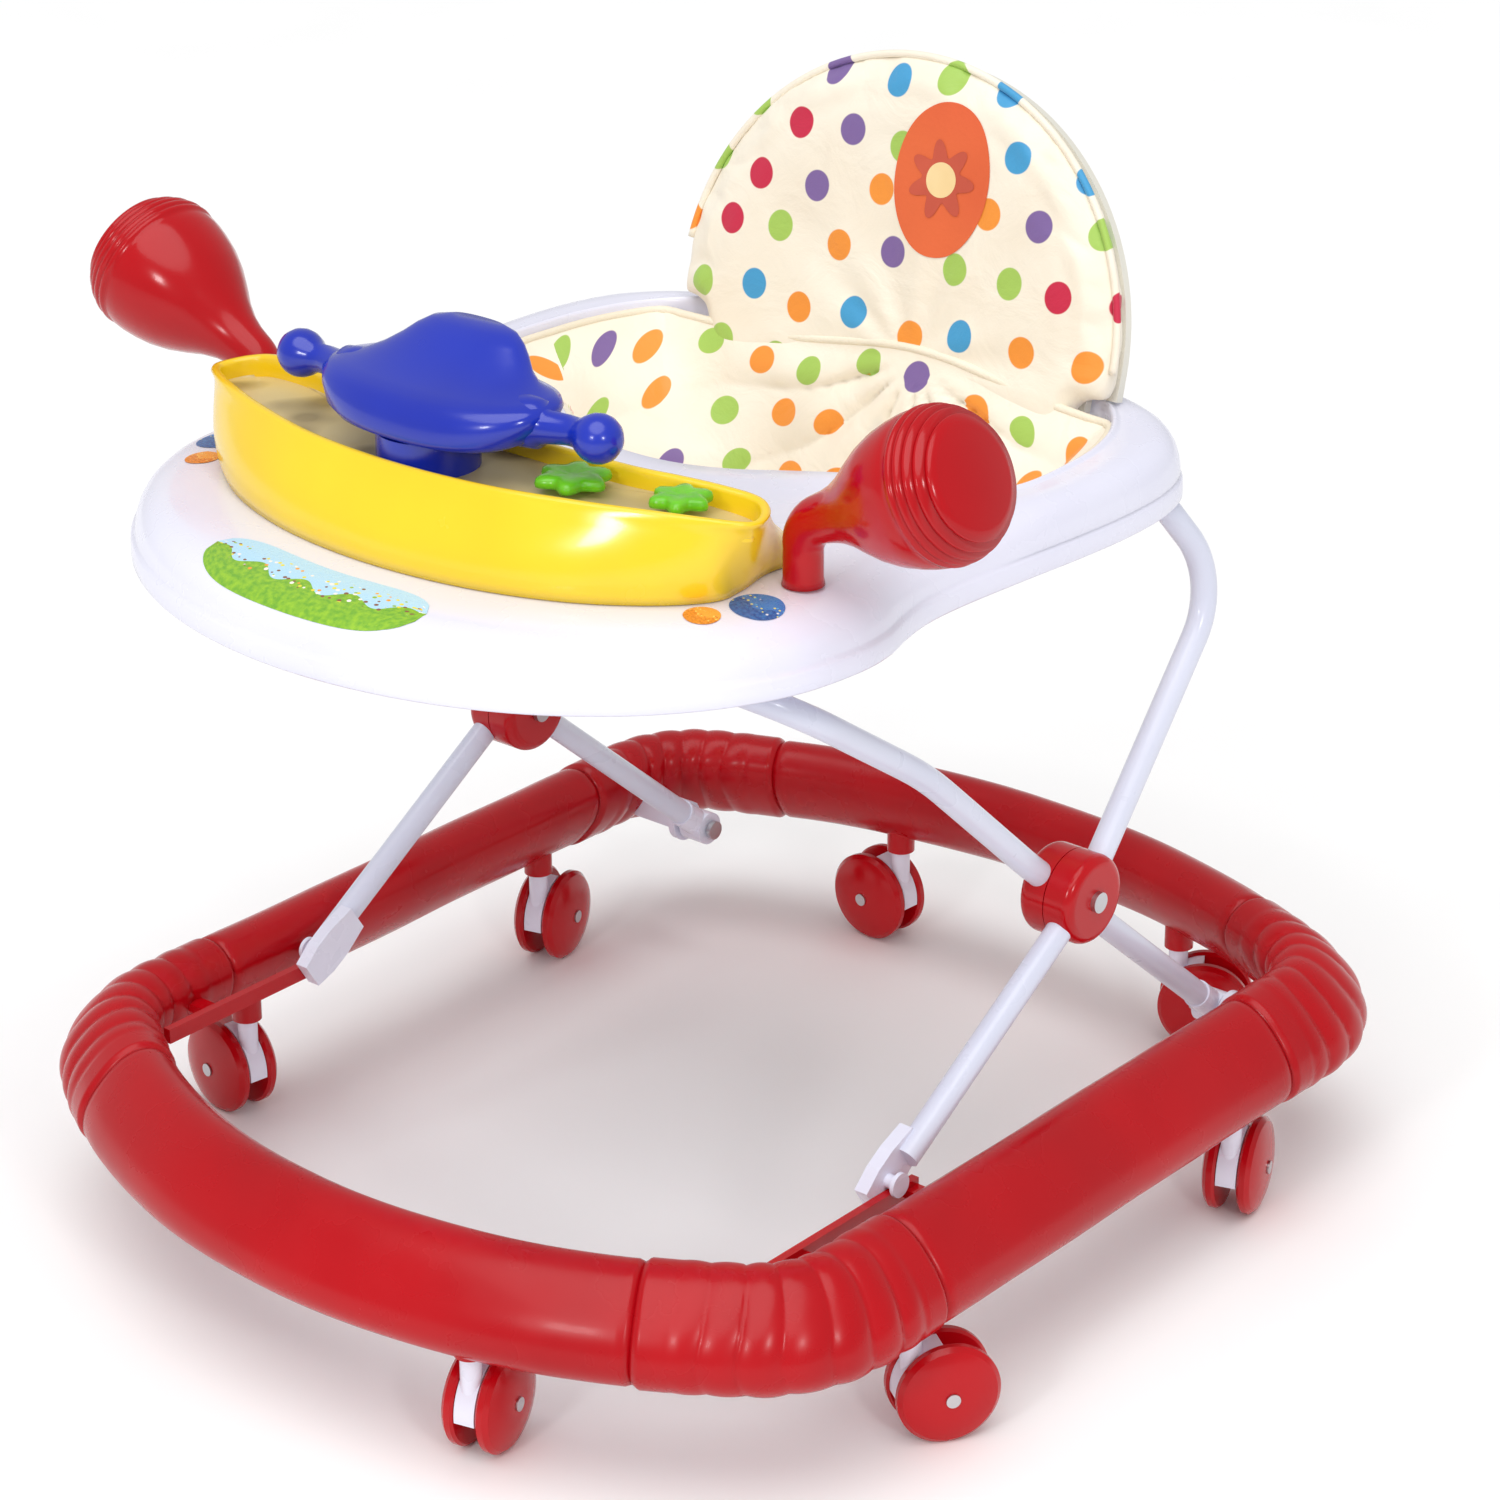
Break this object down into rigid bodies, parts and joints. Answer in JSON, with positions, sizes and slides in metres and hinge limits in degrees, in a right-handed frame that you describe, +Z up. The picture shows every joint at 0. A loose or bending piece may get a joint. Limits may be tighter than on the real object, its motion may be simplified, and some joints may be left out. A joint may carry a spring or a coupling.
{
  "type": "baby walker",
  "caption": "Baby walker: oval bumper ring on twin-wheel casters, folding scissor legs, a play tray with toys, and a hanging fabric seat with a padded backrest.",
  "frame": {"origin": "on the floor under the centre of the outline seen from above, at the wheels' lowest points", "axes": "+Z up; the walker faces -Y, so the tray's toys are at -Y and the backrest is at +Y; +X is the child's left"},
  "size_m": [0.6126, 0.7132, 0.6387],
  "materials": {
    "red_bumper": "glossy moulded red, a little wavy",
    "red_plastic": "glossy red",
    "white_plastic": "glossy white with a cool tint",
    "white_tube": "white painted steel tube",
    "steel": "plain steel",
    "yellow_plastic": "glossy yellow",
    "printed_panel": "printed tan film",
    "blue_plastic": "glossy blue",
    "green_plastic": "translucent lime green",
    "dotted_fabric": "cream coated fabric printed with coloured dots",
    "matte_board": "stiff board"
  },
  "bodies": {
    "base": {"bumper_front": "red_bumper", "bumper_rear": "red_bumper", "bumper_left": "red_bumper", "bumper_right": "red_bumper", "corner_sleeve_front_left": "red_bumper", "corner_sleeve_front_right": "red_bumper", "corner_sleeve_rear_left": "red_bumper", "corner_sleeve_rear_right": "red_bumper", "base_tube_front": "white_tube", "base_tube_rear": "white_tube", "rack_rails": "red_plastic", "rear_brackets": "white_plastic", "rear_pivot_pins": "steel", "caster_sockets": "red_plastic"},
    "caster_front_fork": {"caster_front_housing": "white_plastic"},
    "caster_front_wheelset": {"caster_front_wheels": "red_plastic", "caster_front_axle": "steel"},
    "caster_front_left_fork": {"caster_front_left_housing": "white_plastic"},
    "caster_front_left_wheelset": {"caster_front_left_wheels": "red_plastic", "caster_front_left_axle": "steel"},
    "caster_front_right_fork": {"caster_front_right_housing": "white_plastic"},
    "caster_front_right_wheelset": {"caster_front_right_wheels": "red_plastic", "caster_front_right_axle": "steel"},
    "caster_side_left_fork": {"caster_side_left_housing": "white_plastic"},
    "caster_side_left_wheelset": {"caster_side_left_wheels": "red_plastic", "caster_side_left_axle": "steel"},
    "caster_side_right_fork": {"caster_side_right_housing": "white_plastic"},
    "caster_side_right_wheelset": {"caster_side_right_wheels": "red_plastic", "caster_side_right_axle": "steel"},
    "caster_rear_left_fork": {"caster_rear_left_housing": "white_plastic"},
    "caster_rear_left_wheelset": {"caster_rear_left_wheels": "red_plastic", "caster_rear_left_axle": "steel"},
    "caster_rear_right_fork": {"caster_rear_right_housing": "white_plastic"},
    "caster_rear_right_wheelset": {"caster_rear_right_wheels": "red_plastic", "caster_rear_right_axle": "steel"},
    "front_legs": {"front_leg_tube": "white_tube", "leg_end_caps": "white_plastic", "hub_inner_halves": "red_plastic"},
    "rear_legs": {"rear_leg_left": "white_tube", "rear_leg_right": "white_tube", "leg_feet": "white_plastic", "hub_outer_halves": "red_plastic", "hub_bolts": "steel"},
    "tray": {"tray_shell": "white_plastic", "tray_pivot_pins": "steel", "play_panel": "yellow_plastic", "panel_deck": "printed_panel", "steering_column": "blue_plastic", "seat_sling": "dotted_fabric", "seat_clips": "white_plastic", "backrest_pad": "dotted_fabric", "backrest_board": "matte_board", "backrest_stays": "white_plastic"},
    "steering": {"steering_handle": "blue_plastic"},
    "toy_left": {"mirror_stem_left": "red_plastic", "mirror_bulb_left": "red_plastic"},
    "toy_right": {"mirror_stem_right": "red_plastic", "mirror_bulb_right": "red_plastic"},
    "button_inner": {"flower_button_inner": "green_plastic"},
    "button_outer": {"flower_button_outer": "green_plastic"}
  },
  "joints": [
    {"name": "caster_front_swivel", "type": "hinge", "parent": "base", "child": "caster_front_fork", "pos_m": [0.104, -0.31624, 0.075], "axis": [0, 0, 1], "continuous": true},
    {"name": "caster_front_spin", "type": "hinge", "parent": "caster_front_fork", "child": "caster_front_wheelset", "pos_m": [0.09964, -0.29878, 0.029], "axis": [-0.9703, -0.2419, 0], "continuous": true},
    {"name": "caster_front_left_swivel", "type": "hinge", "parent": "base", "child": "caster_front_left_fork", "pos_m": [0.266, -0.15, 0.075], "axis": [0, 0, 1], "continuous": true},
    {"name": "caster_front_left_spin", "type": "hinge", "parent": "caster_front_left_fork", "child": "caster_front_left_wheelset", "pos_m": [0.27607, -0.13508, 0.029], "axis": [-0.829, 0.5592, 0], "continuous": true},
    {"name": "caster_front_right_swivel", "type": "hinge", "parent": "base", "child": "caster_front_right_fork", "pos_m": [-0.262, -0.122, 0.075], "axis": [0, 0, 1], "continuous": true},
    {"name": "caster_front_right_spin", "type": "hinge", "parent": "caster_front_right_fork", "child": "caster_front_right_wheelset", "pos_m": [-0.27982, -0.1195, 0.029], "axis": [-0.1392, -0.9903, 0], "continuous": true},
    {"name": "caster_side_left_swivel", "type": "hinge", "parent": "base", "child": "caster_side_left_fork", "pos_m": [0.266, 0.15, 0.075], "axis": [0, 0, 1], "continuous": true},
    {"name": "caster_side_left_spin", "type": "hinge", "parent": "caster_side_left_fork", "child": "caster_side_left_wheelset", "pos_m": [0.26044, 0.16712, 0.029], "axis": [-0.9511, -0.309, 0], "continuous": true},
    {"name": "caster_side_right_swivel", "type": "hinge", "parent": "base", "child": "caster_side_right_fork", "pos_m": [-0.266, 0.142, 0.075], "axis": [0, 0, 1], "continuous": true},
    {"name": "caster_side_right_spin", "type": "hinge", "parent": "caster_side_right_fork", "child": "caster_side_right_wheelset", "pos_m": [-0.27036, 0.15946, 0.029], "axis": [-0.9703, -0.2419, 0], "continuous": true},
    {"name": "caster_rear_left_swivel", "type": "hinge", "parent": "base", "child": "caster_rear_left_fork", "pos_m": [0.112, 0.31765, 0.075], "axis": [0, 0, 1], "continuous": true},
    {"name": "caster_rear_left_spin", "type": "hinge", "parent": "caster_rear_left_fork", "child": "caster_rear_left_wheelset", "pos_m": [0.12759, 0.32665, 0.029], "axis": [-0.5, 0.866, 0], "continuous": true},
    {"name": "caster_rear_right_swivel", "type": "hinge", "parent": "base", "child": "caster_rear_right_fork", "pos_m": [-0.108, 0.31853, 0.075], "axis": [0, 0, 1], "continuous": true},
    {"name": "caster_rear_right_spin", "type": "hinge", "parent": "caster_rear_right_fork", "child": "caster_rear_right_wheelset", "pos_m": [-0.12598, 0.31947, 0.029], "axis": [-0.0523, -0.9986, 0], "continuous": true},
    {"name": "fold", "type": "hinge", "parent": "base", "child": "front_legs", "pos_m": [0, 0.225, 0.088], "axis": [1, 0, 0], "range_deg": [0, 18]},
    {"name": "hub_pivot", "type": "hinge", "parent": "front_legs", "child": "rear_legs", "pos_m": [0, 0.064, 0.224], "axis": [1, 0, 0], "range_deg": [-37, 1]},
    {"name": "tray_pivot", "type": "hinge", "parent": "rear_legs", "child": "tray", "pos_m": [0, 0.14, 0.442], "axis": [1, 0, 0], "range_deg": [-1, 25.84]},
    {"name": "steering_turn", "type": "hinge", "parent": "tray", "child": "steering", "pos_m": [0, -0.22, 0.53], "axis": [0, 0, 1], "range_deg": [-45, 45]},
    {"name": "mirror_left_swivel", "type": "hinge", "parent": "tray", "child": "toy_left", "pos_m": [0.19, -0.15, 0.48], "axis": [0, 0, 1], "range_deg": [-35, 35]},
    {"name": "mirror_right_swivel", "type": "hinge", "parent": "tray", "child": "toy_right", "pos_m": [-0.19, -0.15, 0.48], "axis": [0, 0, 1], "range_deg": [-35, 35]},
    {"name": "flower_inner_press", "type": "slide", "parent": "tray", "child": "button_inner", "axis": [0, 0, -1], "range_m": [0, 0.003], "stiffness_N_per_m": 400, "springref_m": -0.001},
    {"name": "flower_outer_press", "type": "slide", "parent": "tray", "child": "button_outer", "axis": [0, 0, -1], "range_m": [0, 0.003], "stiffness_N_per_m": 400, "springref_m": -0.001}
  ],
  "couplings": [
    {"joint": "hub_pivot", "follows": "fold", "ratio": -2},
    {"joint": "tray_pivot", "follows": "fold", "ratio": 1.38}
  ]
}
